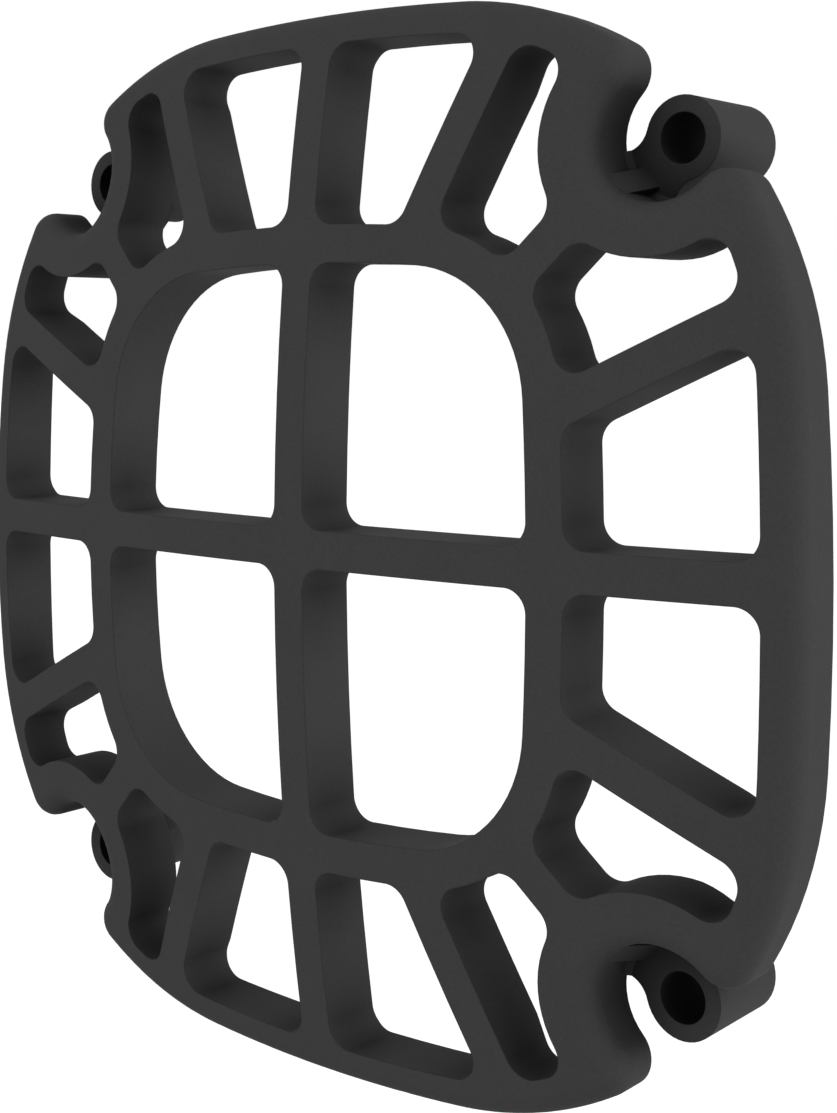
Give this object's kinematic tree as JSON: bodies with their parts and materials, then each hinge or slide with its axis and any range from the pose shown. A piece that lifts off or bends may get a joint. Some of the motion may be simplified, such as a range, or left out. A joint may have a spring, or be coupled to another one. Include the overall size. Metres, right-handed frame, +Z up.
{
  "type": "lamp guard",
  "caption": "Square, domed lamp guard: a moulded grille with a central ring, crossing bars and spokes, held by screw bosses in its scalloped corners.",
  "frame": {"origin": "centre of the screw pattern, on the plane of the bosses' seating faces", "axes": "-Y is the way the domed front faces, +Y is towards the lamp it is fixed to, +Z is up and +X is to the right seen from the front"},
  "size_m": [0.1024, 0.02, 0.1024],
  "materials": {
    "dark_plastic": "fine moulded grain, dark grey"
  },
  "bodies": {
    "root": {"lamp_guard": "dark_plastic"}
  },
  "joints": []
}
